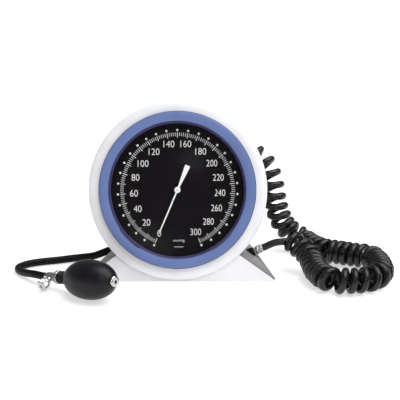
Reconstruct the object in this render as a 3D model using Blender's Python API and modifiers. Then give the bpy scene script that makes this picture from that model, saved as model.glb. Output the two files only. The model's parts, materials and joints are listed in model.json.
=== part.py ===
"""Desk aneroid sphygmomanometer: round clock gauge on a stand, inflation bulb and coiled cuff tube.

Metres, +Z up, dial towards -Y. The origin is under the middle of the instrument, on the table.
"""
import math

import bmesh
import bpy
from mathutils import Matrix, Vector

GAP = 0.0003                     # clearance between pieces that touch

# The dial frame: +Z out of the dial, +Y up the dial, +X to its right.
DIAL_TILT = math.radians(15)     # the dial leans back
DIAL_CENTRE = Vector((0, -0.0413, 0.0984))

# Housing, bezel, glass and dial, in the dial frame
RIM_R = 0.0995
RIM_FLAT_R = 0.0900              # where the rim starts to round over
RIM_FRONT = 0.0086
RIM_BACK = 0.0031
BOWL_R = 0.0875
BOWL_BACK = -0.0450
WALL = 0.0025
BEZEL_R = 0.0866
BEZEL_FRONT = 0.0136
SIGHT_R = 0.0735                 # radius of the dial that shows
GLASS_R = 0.0772
DIAL_TOP = 0.0027
DIAL_THICK = 0.0010
COVER_FRONT = -0.0430
COVER_BACK = -0.0473

# Movement, in the dial frame
ZERO_ANGLE = math.radians(23.25)     # pointer at rest, clockwise from straight down
GEAR_MODULE = 0.0010
PINION_TEETH = 8
SECTOR_RATIO = 10                    # pointer turns per turn of the sector
SECTOR_SWING = math.radians(31.35)
SECTOR_AXIS_Y = -GEAR_MODULE * PINION_TEETH * (1 + SECTOR_RATIO) / 2
FRONT_PLATE_Z = (-0.0060, -0.0045)
REAR_PLATE_Z = (-0.0180, -0.0165)
CAPSULE_Y = -0.022
CAPSULE_R = 0.030

# Stand
PANEL_Z = (-0.0002, 0.0028)          # in the dial frame
PANEL_FOOT_Y = -0.1014
PANEL_HALF_WIDTH = 0.1090
PANEL_SLOPE = math.radians(35.5)
BASE_TOP = 0.0029
BASE_THICK = 0.0015
FOOT_R = 0.0075
SHELL_FOOT_Z = BASE_TOP + GAP
SHELL_FRONT_Y = DIAL_CENTRE.y - 0.0252
SHELL_BACK_Y = DIAL_CENTRE.y + 0.0740
SHELL_BACK_HALF_WIDTH = 0.0885
SHELL_TOP_HALF_WIDTH = (0.0695, 0.0715)
SHELL_TOP_Z = (0.0305, 0.0240)

# Cuff basket and rolled cuff, in the dial frame
BASKET_HALF_WIDTH = 0.0805
BASKET_Y = (-0.0445, 0.0080)
BASKET_Z = (-0.1210, -0.0476)
CUFF_ROLL_R = 0.0320
CUFF_ROLL_WIDTH = 0.1300
CUFF_ROLL_CENTRE = (0, -0.0095, -0.0836)
CLIP_CENTRE = (0.030, 0.050, -0.068)

# Bulb and release valve: one axis from the hose end to the air intake
BULB_CENTRE = Vector((-0.0899, -0.1255, 0.0222))
BULB_AXIS = Vector((0.780, -0.606, 0.152)).normalized()
BULB_R = 0.0216
BULB_HALF_LENGTH = 0.0350
NECK_END = -0.0472
VALVE_END = -0.0706
KNOB_STATION = -0.0600
KNOB_START = 0.0092
NEEDLE_R = 0.0012

# Tubes
HOSE_R = 0.0043
TUBE_R = 0.0038
COIL_R = 0.01475
INNER_TUBE_R = 0.0030
CONNECTOR_R = 0.0045

CUFF_PORT_AXIS = Vector((0.93, 0.10, 0.35)).normalized()
BULB_PORT_AXIS = Vector((-0.91, 0.02, -0.41)).normalized()

# Free routes, point by point, in metres
COIL_ROUTE = [
    (0.1176, -0.0240, 0.0325), (0.1260, -0.0250, 0.0322), (0.1360, -0.0300, 0.0290),
    (0.1480, -0.0440, 0.0200), (0.1525, -0.0719, 0.0152), (0.1608, -0.0982, 0.0152),
    (0.1705, -0.1095, 0.0152), (0.1823, -0.1105, 0.0152), (0.1944, -0.1093, 0.0152),
    (0.2074, -0.1044, 0.0152), (0.2182, -0.0928, 0.0152), (0.2239, -0.0706, 0.0152),
    (0.2200, -0.0342, 0.0152), (0.2086, -0.0226, 0.0152), (0.1939, -0.0161, 0.0152),
    (0.1803, -0.0084, 0.0152), (0.1672, -0.0026, 0.0152), (0.1540, 0.0151, 0.0152),
    (0.1434, 0.0393, 0.0160), (0.1326, 0.0420, 0.0222), (0.1233, 0.0450, 0.0297),
    (0.1167, 0.0450, 0.0405), (0.1127, 0.0450, 0.0521), (0.1098, 0.0450, 0.0644),
    (0.1076, 0.0450, 0.0787), (0.1039, 0.0450, 0.0941), (0.0979, 0.0450, 0.1090),
    (0.0900, 0.0450, 0.1205), (0.0807, 0.0435, 0.1278), (0.0620, 0.0369, 0.1291),
]
LEAD_ROUTE = [(0.1040, -0.0238, 0.0298), (0.1090, -0.0237, 0.0315)]
HOSE_ROUTE = [
    (-0.1023, 0.0024, 0.0080), (-0.1127, 0.0040, 0.0060), (-0.1221, 0.0040, 0.0050),
    (-0.1333, 0.0009, 0.0046), (-0.1450, -0.0040, 0.0046), (-0.1567, -0.0077, 0.0046),
    (-0.1662, -0.0114, 0.0046), (-0.1750, -0.0165, 0.0046), (-0.1811, -0.0224, 0.0046),
    (-0.1847, -0.0286, 0.0046), (-0.1852, -0.0350, 0.0046), (-0.1815, -0.0440, 0.0048),
    (-0.1730, -0.0560, 0.0066), (-0.1610, -0.0690, 0.0095),
]
CUFF_TUBE_ROUTE = [
    (0.0060, 0.0369, 0.1291), (-0.0080, 0.0369, 0.1280), (-0.0190, 0.0369, 0.1215),
    (-0.0230, 0.0369, 0.1120),
]


# ---------------------------------------------------------------- scene and helpers

def clear_scene():
    for old in list(bpy.data.objects):
        bpy.data.objects.remove(old, do_unlink=True)


def new_collection(name):
    collection = bpy.data.collections.new(name)
    bpy.context.scene.collection.children.link(collection)
    return collection


def material(name, colour, roughness, metallic=0.0):
    surface = bpy.data.materials.new(name)
    surface.use_nodes = True
    shader = surface.node_tree.nodes["Principled BSDF"]
    shader.inputs["Base Color"].default_value = (*colour, 1)
    shader.inputs["Roughness"].default_value = roughness
    shader.inputs["Metallic"].default_value = metallic
    return surface


def place(obj, collection, parent=None, location=(0, 0, 0), rotation=(0, 0, 0)):
    collection.objects.link(obj)
    obj.parent = parent
    obj.location = location
    obj.rotation_euler = rotation
    return obj


def add_empty(name, collection, matrix):
    empty = bpy.data.objects.new(name, None)
    collection.objects.link(empty)
    empty.matrix_world = matrix
    return empty


def aimed(point, direction):
    """A frame at point whose +Z runs along direction and whose +Y leans upwards."""
    return Matrix.Translation(point) @ direction.to_track_quat("Z", "Y").to_matrix().to_4x4()


def mesh_object(name, mesh, paint):
    obj = bpy.data.objects.new(name, mesh)
    if paint:
        mesh.materials.append(paint)
    return obj


def turned(name, profile, paint, steps=32, ring=False):
    """A turned piece. The profile is (radius, height) points running down the outer side."""
    mesh = bpy.data.meshes.new(name)
    points = [(radius, 0, height) for radius, height in profile]
    edges = [(i, i + 1) for i in range(len(points) - 1)]
    if ring:
        edges.append((len(points) - 1, 0))
    mesh.from_pydata(points, edges, [])
    obj = mesh_object(name, mesh, paint)
    screw = obj.modifiers.new("turn", "SCREW")
    screw.steps = steps
    screw.render_steps = steps
    screw.use_merge_vertices = True
    screw.merge_threshold = 0.00001
    return obj


def block(name, low, high, paint):
    bm = bmesh.new()
    bmesh.ops.create_cube(bm, size=1)
    size = [h - l for l, h in zip(low, high)]
    middle = [(h + l) / 2 for l, h in zip(low, high)]
    bmesh.ops.scale(bm, vec=size, verts=bm.verts)
    bmesh.ops.translate(bm, vec=middle, verts=bm.verts)
    mesh = bpy.data.meshes.new(name)
    bm.to_mesh(mesh)
    bm.free()
    return mesh_object(name, mesh, paint)


def rounded(obj, width, segments=2):
    bevel = obj.modifiers.new("round", "BEVEL")
    bevel.width = width
    bevel.segments = segments
    bevel.limit_method = "ANGLE"
    return obj


def plate(name, outlines, low, high, paint):
    """A flat piece between two heights. The first outline is its edge, the rest are holes."""
    curve = bpy.data.curves.new(name, "CURVE")
    curve.dimensions = "2D"
    curve.fill_mode = "BOTH"
    curve.extrude = (high - low) / 2
    for outline in outlines:
        spline = curve.splines.new("POLY")
        spline.points.add(len(outline) - 1)
        for point, (x, y) in zip(spline.points, outline):
            point.co = (x, y, 0, 1)
        spline.use_cyclic_u = True
    if paint:
        curve.materials.append(paint)
    return bpy.data.objects.new(name, curve)


def circle(radius, x=0.0, y=0.0, sides=16):
    turn = 2 * math.pi / sides
    return [(x + radius * math.cos(i * turn), y + radius * math.sin(i * turn)) for i in range(sides)]


def arc(radius, start, end, steps, x=0.0, y=0.0):
    angles = [start + (end - start) * i / steps for i in range(steps + 1)]
    return [(x + radius * math.cos(a), y + radius * math.sin(a)) for a in angles]


def smooth_route(points, spacing):
    """Points at even spacing along a Catmull-Rom curve through the given points."""
    knots = [Vector(p) for p in points]
    knots = [2 * knots[0] - knots[1]] + knots + [2 * knots[-1] - knots[-2]]
    fine = []
    steps = 24
    for a, b, c, d in zip(knots, knots[1:], knots[2:], knots[3:]):
        for i in range(steps):
            t = i / steps
            fine.append(0.5 * (2 * b + (c - a) * t + (2 * a - 5 * b + 4 * c - d) * t * t
                               + (3 * b - a - 3 * c + d) * t ** 3))
    fine.append(knots[-2])
    length = sum((q - p).length for p, q in zip(fine, fine[1:]))
    count = max(2, round(length / spacing))
    route = [fine[0]]
    target = length / count
    walked = 0.0
    for p, q in zip(fine, fine[1:]):
        step = (q - p).length
        while len(route) < count and walked + step >= target * len(route):
            route.append(p.lerp(q, (target * len(route) - walked) / step))
        walked += step
    route.append(fine[-1])
    return route


def fitted_route(start, start_way, points, end, end_way, spacing, stub=0.004):
    """A smooth route whose two ends run straight out of the pieces that hold them."""
    first, last = Vector(start), Vector(end)
    inner = smooth_route([first + start_way * stub, *points, last - end_way * stub], spacing)
    return [first, *inner, last]


def tube(name, route, radius, paint, resolution=2):
    curve = bpy.data.curves.new(name, "CURVE")
    curve.dimensions = "3D"
    curve.bevel_depth = radius
    curve.bevel_resolution = resolution
    curve.use_fill_caps = True
    spline = curve.splines.new("POLY")
    spline.points.add(len(route) - 1)
    for point, place_at in zip(spline.points, route):
        point.co = (*place_at, 1)
    curve.materials.append(paint)
    return bpy.data.objects.new(name, curve)


def loft(name, sections, paint):
    """A closed solid through sections of equal point count, each listed the same way round."""
    bm = bmesh.new()
    rings = [[bm.verts.new(point) for point in section] for section in sections]
    count = len(rings[0])
    for ring, following in zip(rings, rings[1:]):
        for i in range(count):
            j = (i + 1) % count
            bm.faces.new((ring[i], ring[j], following[j], following[i]))
    bm.faces.new(list(reversed(rings[0])))
    bm.faces.new(rings[-1])
    bmesh.ops.recalc_face_normals(bm, faces=bm.faces)
    mesh = bpy.data.meshes.new(name)
    bm.to_mesh(mesh)
    bm.free()
    return mesh_object(name, mesh, paint)


def cut(obj, cutter):
    cutter.hide_render = True
    cutter.display_type = "WIRE"
    boolean = obj.modifiers.new("cut " + cutter.name, "BOOLEAN")
    boolean.operation = "DIFFERENCE"
    boolean.object = cutter


def screw(name, paint, head_r, head_top, head_low, shank_r, tip):
    """A pan-head screw on +Z: the head's top, its underside, then the tip of its shank."""
    return turned(name, [(0, head_top), (head_r * 0.7, head_top), (head_r, (head_top + head_low) / 2),
                         (head_r, head_low), (shank_r, head_low), (shank_r, tip), (0, tip)], paint, 12)


# ---------------------------------------------------------------- housing, bezel, glass, dial

def bowl_profile(grow):
    """The outer side of the bowl behind the rim, grown by a clearance."""
    return [(BOWL_R + grow, RIM_BACK), (0.0860 + grow, -0.0150), (0.0845 + grow, -0.0300),
            (0.0820 + grow, -0.0400), (0.0790 + grow, BOWL_BACK - grow)]


COVER_SCREW_R = 0.071
COVER_SCREW_ANGLES = [math.radians(a) for a in (90, 255, 285)]
BASKET_SCREWS = [(-0.040, -0.034), (0.040, -0.034)]


def build_housing(parts, cutters, dial, paints):
    rim_height = 0.0052
    rim_curve = [(RIM_FLAT_R + (RIM_R - RIM_FLAT_R) * math.cos(a), RIM_BACK + GAP + rim_height * math.sin(a))
                 for a in [math.radians(90 - 15 * i) for i in range(1, 7)]]
    outer = [(GLASS_R + 0.0004, RIM_FRONT), (RIM_FLAT_R, RIM_FRONT)] + rim_curve + [(RIM_R, RIM_BACK)]
    inner = [(0.0655, BOWL_BACK), (0.0655, BOWL_BACK + WALL), (0.0770, BOWL_BACK + WALL),
             (0.0795, -0.0390), (0.0820, -0.0290), (0.0835, -0.0150), (0.0852, 0.0030),
             (0.0754, 0.0030), (0.0754, 0.0063), (GLASS_R + 0.0004, 0.0063)]
    shell = turned("housing_shell", outer + bowl_profile(0) + inner, paints["white"], 60, ring=True)
    place(shell, parts, dial)

    bezel = turned("bezel_ring", [(0.0766, BEZEL_FRONT), (0.0855, BEZEL_FRONT), (BEZEL_R, 0.0127),
                                  (BEZEL_R, RIM_FRONT + GAP), (0.0750, RIM_FRONT + GAP),
                                  (SIGHT_R, 0.0096)], paints["blue"], 60, ring=True)
    place(bezel, parts, dial)
    lens = turned("lens", [(0, RIM_FRONT), (GLASS_R, RIM_FRONT), (GLASS_R, 0.0066), (0, 0.0066)],
                  paints["clear"], 64)
    place(lens, parts, dial)

    dial_low = DIAL_TOP - DIAL_THICK
    outlines = [circle(0.0835, sides=72), circle(0.0030)] + [circle(0.0013, x, 0, 10) for x in (-0.040, 0.040)]
    place(plate("dial_plate", outlines, dial_low, DIAL_TOP, paints["black"]), parts, dial,
          (0, 0, (dial_low + DIAL_TOP) / 2))
    for side, x in (("left", -0.040), ("right", 0.040)):
        head = DIAL_TOP + GAP
        place(screw(f"dial_screw_{side}", paints["steel"], 0.0022, head + 0.0010, head, 0.0010, -0.0070),
              parts, dial, (x, 0, 0))

    cover = turned("rear_cover", [(0, COVER_FRONT), (0.0652, COVER_FRONT), (0.0652, BOWL_BACK - GAP),
                                  (0.0755, BOWL_BACK - GAP), (0.0755, COVER_BACK), (0, COVER_BACK)],
                   paints["white"], 48)
    place(cover, parts, dial)
    hole = turned("feed_hole_cutter", [(0, -0.0400), (0.0034, -0.0400), (0.0034, -0.0500), (0, -0.0500)], None, 16)
    place(hole, cutters, dial, (0, -0.0560, 0))
    cut(cover, hole)
    for number, angle in enumerate(COVER_SCREW_ANGLES, 1):
        spot = (COVER_SCREW_R * math.cos(angle), COVER_SCREW_R * math.sin(angle), 0)
        drill = turned(f"cover_hole_cutter_{number}",
                       [(0, -0.0400), (0.0015, -0.0400), (0.0015, -0.0500), (0, -0.0500)], None, 12)
        place(drill, cutters, dial, spot)
        cut(cover, drill)
        cut(shell, drill)
        back = COVER_BACK - GAP
        fixing = screw(f"cover_screw_{number}", paints["steel"], 0.0026, 0.0012, 0, 0.0012, -0.0062)
        place(fixing, parts, dial, (spot[0], spot[1], back), (math.pi, 0, 0))
    return shell, cover


# ---------------------------------------------------------------- movement

def gear_points(teeth, first, last, radius, addendum, dedendum, x=0.0, y=0.0, start=0.0):
    """Narrow straight-sided teeth from number first to last, as outline points."""
    pitch = 2 * math.pi / teeth
    tip_half = 0.16 * pitch
    root_half = 0.25 * pitch
    points = []
    for number in range(first, last + 1):
        middle = start + number * pitch
        for offset, r in ((-root_half, radius - dedendum), (-tip_half, radius + addendum),
                          (tip_half, radius + addendum), (root_half, radius - dedendum)):
            points.append((x + r * math.cos(middle + offset), y + r * math.sin(middle + offset)))
    return points


def build_movement(parts, dial, paints):
    pillar_spots = [(-0.025, 0.011), (0.025, 0.011), (0.0, -0.056)]
    holes = [circle(0.0016, 0, 0, 12), circle(0.0016, 0, SECTOR_AXIS_Y, 12)]
    front_edge = [(-0.046, -0.007), (-0.030, -0.007), (-0.030, -0.060), (0.030, -0.060), (0.030, -0.007),
                  (0.046, -0.007), (0.046, 0.007), (0.030, 0.007), (0.030, 0.016), (-0.030, 0.016),
                  (-0.030, 0.007), (-0.046, 0.007)]
    rear_edge = [(-0.030, -0.060), (0.030, -0.060), (0.030, 0.016), (-0.030, 0.016)]
    dial_holes = [circle(0.0013, x, 0, 10) for x in (-0.040, 0.040)]
    pin_hole = [circle(0.0030, 0, CAPSULE_Y, 12)]
    for name, edge, extra, (low, high) in (("movement_front_plate", front_edge, dial_holes, FRONT_PLATE_Z),
                                           ("movement_rear_plate", rear_edge, pin_hole, REAR_PLATE_Z)):
        piece = plate(name, [edge] + holes + extra, low, high, paints["brass"])
        place(piece, parts, dial, (0, 0, (low + high) / 2))
    for number, (x, y) in enumerate(pillar_spots, 1):
        low, high = REAR_PLATE_Z[1] + GAP, FRONT_PLATE_Z[0] - GAP
        pillar = turned(f"movement_pillar_{number}", [(0, high), (0.0025, high), (0.0025, low), (0, low)],
                        paints["brass"], 16)
        place(pillar, parts, dial, (x, y, 0))
    for side, x in (("left", -0.026), ("right", 0.026)):
        low, high = COVER_FRONT + GAP, REAR_PLATE_Z[0] - GAP
        post = turned(f"movement_post_{side}", [(0, high), (0.0030, high), (0.0030, low), (0, low)],
                      paints["brass"], 16)
        place(post, parts, dial, (x, 0.008, 0))

    arbor = turned("pointer_arbor", [(0, 0.0041), (0.0012, 0.0041), (0.0012, -0.0175), (0, -0.0175)],
                   paints["steel"], 16)
    place(arbor, parts, dial)
    half_tooth = math.pi / PINION_TEETH
    pinion_r = GEAR_MODULE * PINION_TEETH / 2
    pinion_edge = gear_points(PINION_TEETH, 0, PINION_TEETH - 1, pinion_r, 0.0005, 0.0010,
                              start=-math.pi / 2 + half_tooth)
    place(plate("pinion", [pinion_edge, circle(0.0015, sides=12)], -0.0015, 0.0015, paints["brass"]),
          parts, dial, (0, 0, -0.0120))

    sector_teeth = PINION_TEETH * SECTOR_RATIO
    sector_r = GEAR_MODULE * sector_teeth / 2
    teeth = gear_points(sector_teeth, -8, 1, sector_r, 0.0005, 0.0010, start=math.pi / 2)
    hub = arc(0.0060, math.radians(125), math.radians(415), 14)
    rim_inner = sector_r - 0.0060
    first, last = math.radians(90 - 36.5), math.radians(90 + 5.5)
    web = [(rim_inner * math.cos(first), rim_inner * math.sin(first))]
    web_end = [(rim_inner * math.cos(last), rim_inner * math.sin(last))]
    place(plate("sector_gear", [hub + web + teeth + web_end, circle(0.0016, sides=12)],
                -0.0008, 0.0008, paints["brass"]), parts, dial, (0, SECTOR_AXIS_Y, -0.0120))
    sector_arbor = turned("sector_arbor", [(0, -0.0046), (0.0013, -0.0046), (0.0013, -0.0178), (0, -0.0178)],
                          paints["steel"], 16)
    place(sector_arbor, parts, dial, (0, SECTOR_AXIS_Y, 0))

    turns, inner_r, outer_r, per_turn = 3.25, 0.0022, 0.0080, 14
    count = round(turns * per_turn)
    spiral = []
    for i in range(count + 1):
        angle = 2 * math.pi * i / per_turn
        radius = inner_r + (outer_r - inner_r) * i / count
        spiral.append((radius * math.cos(angle), radius * math.sin(angle), -0.0080))
    place(tube("hairspring", spiral, 0.0002, paints["steel"], 0), parts, dial)

    lower = turned("capsule_lower", [(0, -0.0360), (CAPSULE_R, -0.0360), (CAPSULE_R, -0.0368), (0.024, -0.0385),
                                     (0.009, -0.0385), (0.008, COVER_FRONT + GAP), (0, COVER_FRONT + GAP)],
                   paints["brass"], 40)
    place(lower, parts, dial, (0, CAPSULE_Y, 0))
    upper = turned("capsule_upper", [(0, -0.0305), (0.008, -0.0305), (0.011, -0.0320), (0.015, -0.0310),
                                     (0.019, -0.0322), (0.023, -0.0315), (0.027, -0.0335),
                                     (CAPSULE_R, -0.0350), (CAPSULE_R, -0.0357), (0, -0.0357)],
                   paints["brass"], 40)
    place(upper, parts, dial, (0, CAPSULE_Y, 0))
    pin = turned("capsule_pin", [(0, -0.0150), (0.0015, -0.0150), (0.0015, -0.0302), (0, -0.0302)],
                 paints["steel"], 12)
    place(pin, parts, dial, (0, CAPSULE_Y, 0))


def build_pointer(parts, dial, paints):
    """A needle pointer with a widening tail, drawn straight up and turned to zero."""
    hub = arc(0.0034, math.radians(-60), math.radians(60), 5)
    blade = [(0.00085, 0.0060), (0.00065, 0.0500), (0.0, 0.0533)]
    tail = [(0.0011, -0.0042), (0.0030, -0.0285), (0.0022, -0.0296)]
    right = list(reversed(tail)) + hub + blade
    left = [(-x, y) for x, y in reversed(right) if x > 0]
    outline = right + left
    piece = plate("pointer", [outline], 0, 0.0005, paints["pointer_white"])
    place(piece, parts, dial, (0, 0, 0.00465), (0, 0, math.pi - ZERO_ANGLE))
    cap = turned("pointer_cap", [(0, 0.0064), (0.0014, 0.0064), (0.0030, 0.0059), (0.0032, 0.0052),
                                 (0, 0.0052)], paints["pointer_white"], 24)
    place(cap, parts, dial)


# ---------------------------------------------------------------- stand

def on_dial(x, y, z):
    """A dial-frame point in world axes."""
    sine, cosine = math.sin(DIAL_TILT), math.cos(DIAL_TILT)
    return Vector((x, DIAL_CENTRE.y + y * sine - z * cosine, DIAL_CENTRE.z + y * cosine + z * sine))


def side_point(side, along, up, inset=0.0):
    """A point on the stand shell's side: along 0 front to 1 back, up 0 foot to 1 shoulder."""
    foot = Vector((PANEL_HALF_WIDTH - 0.0010 + (SHELL_BACK_HALF_WIDTH - PANEL_HALF_WIDTH) * along,
                   SHELL_FRONT_Y + (SHELL_BACK_Y - SHELL_FRONT_Y) * along, SHELL_FOOT_Z))
    lean = 0.0078
    shoulder = Vector((SHELL_TOP_HALF_WIDTH[0] + (SHELL_TOP_HALF_WIDTH[1] - SHELL_TOP_HALF_WIDTH[0]) * along,
                       SHELL_FRONT_Y + lean + (SHELL_BACK_Y - SHELL_FRONT_Y - lean) * along,
                       SHELL_TOP_Z[0] + (SHELL_TOP_Z[1] - SHELL_TOP_Z[0]) * along))
    point = foot.lerp(shoulder, up)
    return Vector((side * (point.x - inset), point.y, point.z))


def shell_section(along, inset=0.0, drop=0.0, reach=0.0):
    """Foot, shoulder, shoulder, foot: one section of the stand shell."""
    corners = [side_point(1, along, 0, inset), side_point(1, along, 1, inset),
               side_point(-1, along, 1, inset), side_point(-1, along, 0, inset)]
    shift = Vector((0, reach, -drop))
    lower = Vector((0, reach, -0.004 if drop else 0))
    return [corners[0] + lower, corners[1] + shift, corners[2] + shift, corners[3] + lower]


def build_stand(parts, cutters, dial, paints):
    shoulder_y = -0.0706
    shoulder_x = PANEL_HALF_WIDTH - (shoulder_y - PANEL_FOOT_Y) / math.tan(PANEL_SLOPE)
    ring_r = 0.0965
    meet = math.atan2(shoulder_y, shoulder_x)
    edge = [(-PANEL_HALF_WIDTH, PANEL_FOOT_Y), (PANEL_HALF_WIDTH, PANEL_FOOT_Y), (shoulder_x, shoulder_y)]
    edge += arc(ring_r, meet, math.pi - meet, 48)
    edge += [(-shoulder_x, shoulder_y)]
    low, high = PANEL_Z
    panel = plate("stand_front_panel", [edge, circle(BOWL_R + 0.0006, sides=72)], low, high, paints["white"])
    place(panel, parts, dial, (0, 0, (low + high) / 2))

    shell = loft("stand_rear_shell", [shell_section(0), shell_section(1)], paints["grey"])
    place(shell, parts)
    hollow = loft("shell_hollow_cutter", [shell_section(0, 0.0042, WALL, -0.0100),
                                          shell_section(1, 0.0042, WALL, -WALL)], None)
    place(hollow, cutters)
    cut(shell, hollow)
    seat = turned("bowl_seat_cutter", [(0, 0.0100), (BOWL_R + 0.0012, 0.0100)] + bowl_profile(0.0012)
                  + [(0.0800, -0.0500), (0, -0.0500)], None, 72)
    place(seat, cutters, dial)
    cut(shell, seat)

    foot_left = side_point(-1, 0, 0)
    back_left = side_point(-1, 1, 0)
    footprint = [(foot_left.x, SHELL_FRONT_Y), (-foot_left.x, SHELL_FRONT_Y),
                 (-back_left.x, SHELL_BACK_Y), (back_left.x, SHELL_BACK_Y)]
    place(plate("base_plate", [footprint], BASE_TOP - BASE_THICK, BASE_TOP, paints["dark_grey"]), parts,
          location=(0, 0, BASE_TOP - BASE_THICK / 2))
    foot_top = BASE_TOP - BASE_THICK - GAP
    spots = [(-0.090, SHELL_FRONT_Y + 0.012), (0.090, SHELL_FRONT_Y + 0.012),
             (-0.074, SHELL_BACK_Y - 0.012), (0.074, SHELL_BACK_Y - 0.012)]
    for number, (x, y) in enumerate(spots, 1):
        foot = turned(f"rubber_foot_{number}", [(0, foot_top), (FOOT_R, foot_top), (FOOT_R - 0.0006, 0), (0, 0)],
                      paints["rubber"], 20)
        place(foot, parts, location=(x, y, 0))
    return shell


def build_ports(parts, cutters, shell, paints):
    """The two rubber bushes in the stand's sides, and the frames that their tubes start from."""
    frames = {}
    for name, side, along, up, axis, radius, reach in (
            ("cuff_port_bush", 1, 0.375, 0.68, CUFF_PORT_AXIS, 0.0052, 0.0052),
            ("bulb_port_bush", -1, 0.62, 0.66, BULB_PORT_AXIS, 0.0050, 0.0040)):
        frame = add_empty(name + "_axis", parts, aimed(side_point(side, along, up), axis))
        bush = turned(name, [(0.0018, reach), (radius, reach), (radius, -0.0100), (0.0018, -0.0100)],
                      paints["rubber"], 20, ring=True)
        place(bush, parts, frame)
        drill = turned(name + "_cutter", [(0, 0.0150), (radius + GAP, 0.0150), (radius + GAP, -0.0220), (0, -0.0220)],
                       None, 20)
        place(drill, cutters, frame)
        cut(shell, drill)
        frames[name] = frame
    return frames


# ---------------------------------------------------------------- air way inside the stand

def build_airway(parts, cutters, shell, ports, paints):
    centre = Vector((0, DIAL_CENTRE.y + 0.055, 0.0110))
    half = Vector((0.0110, 0.0050, 0.0050))
    place(rounded(block("manifold_block", centre - half, centre + half, paints["brass"]), 0.0008), parts)
    for name, port, side in (("inner_tube_right", "cuff_port_bush", 1), ("inner_tube_left", "bulb_port_bush", -1)):
        inside = ports[port].matrix_world @ Vector((0, 0, -0.0104))
        outwards = ports[port].matrix_world.to_3x3() @ Vector((0, 0, 1))
        sideways = Vector((side, 0, 0))
        start = centre + sideways * (half.x + GAP)
        middle = start.lerp(inside, 0.5)
        middle.z = centre.z
        route = fitted_route(start, sideways, [middle], inside, outwards, 0.007)
        place(tube(name, route, INNER_TUBE_R, paints["rubber"]), parts)
    top = Vector((0, centre.y, centre.z + half.z + GAP))
    exit_point = on_dial(0, -0.0560, COVER_FRONT + 0.0020)
    back = on_dial(0, 0, -1) - on_dial(0, 0, 0)
    downwards = Vector((0, 0, -1))
    route = fitted_route(exit_point, back, [exit_point + back * 0.010, top - downwards * 0.012],
                         top, downwards, 0.005)
    place(tube("gauge_feed_tube", route, INNER_TUBE_R, paints["rubber"]), parts)
    drill = turned("feed_slot_cutter", [(0, 0.040), (0.0060, 0.040), (0.0060, 0.015), (0, 0.015)], None, 20)
    place(drill, cutters, location=(0, centre.y - 0.0015, 0))
    cut(shell, drill)


# ---------------------------------------------------------------- cuff, basket and clip

def build_basket(parts, cutters, dial, cover, paints):
    (low_y, high_y), (low_z, high_z) = BASKET_Y, BASKET_Z
    half = BASKET_HALF_WIDTH
    basket = block("cuff_basket", (-half, low_y, low_z), (half, high_y, high_z), paints["white"])
    place(rounded(basket, 0.0030, 2), parts, dial)
    pocket = block("pocket_cutter", (-half + WALL, low_y + WALL, low_z + WALL),
                   (half - WALL, high_y + 0.010, high_z - WALL), None)
    place(pocket, cutters, dial)
    cut(basket, pocket)
    for number, (x, y) in enumerate(BASKET_SCREWS, 1):
        drill = turned(f"basket_hole_cutter_{number}",
                       [(0, -0.0400), (0.0015, -0.0400), (0.0015, -0.0520), (0, -0.0520)], None, 12)
        place(drill, cutters, dial, (x, y, 0))
        cut(basket, drill)
        cut(cover, drill)
        head = high_z - WALL - GAP
        fixing = screw(f"basket_screw_{number}", paints["steel"], 0.0026, 0.0012, 0, 0.0012, -0.0062)
        place(fixing, parts, dial, (x, y, head), (math.pi, 0, 0))

    radius, width = CUFF_ROLL_R, CUFF_ROLL_WIDTH / 2
    roll = turned("cuff_roll", [(0, width), (radius - 0.004, width), (radius, width - 0.004),
                                (radius, 0.004 - width), (radius - 0.004, -width), (0, -width)],
                  paints["fabric"], 36)
    place(roll, parts, dial, CUFF_ROLL_CENTRE, (0, math.radians(90), 0))


def build_clip(parts, dial, paints):
    """A fork on the rear cover that the cuff tube's connector lies in."""
    inner_r, outer_r = CONNECTOR_R + GAP, CONNECTOR_R + 0.0028
    reach = COVER_BACK - GAP - CLIP_CENTRE[2]
    inner = arc(inner_r, math.radians(20), math.radians(-200), 18)
    outer = arc(outer_r, math.radians(-200), math.radians(-35), 14)
    arm = [(reach, outer_r * math.sin(math.radians(-35))), (reach, 0.0022), (outer_r, 0.0022)]
    clip = plate("connector_clip", [inner + outer + arm], -0.0045, 0.0045, paints["white"])
    place(clip, parts, dial, CLIP_CENTRE, (0, math.radians(-90), 0))


# ---------------------------------------------------------------- coiled tube and its fittings

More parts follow.
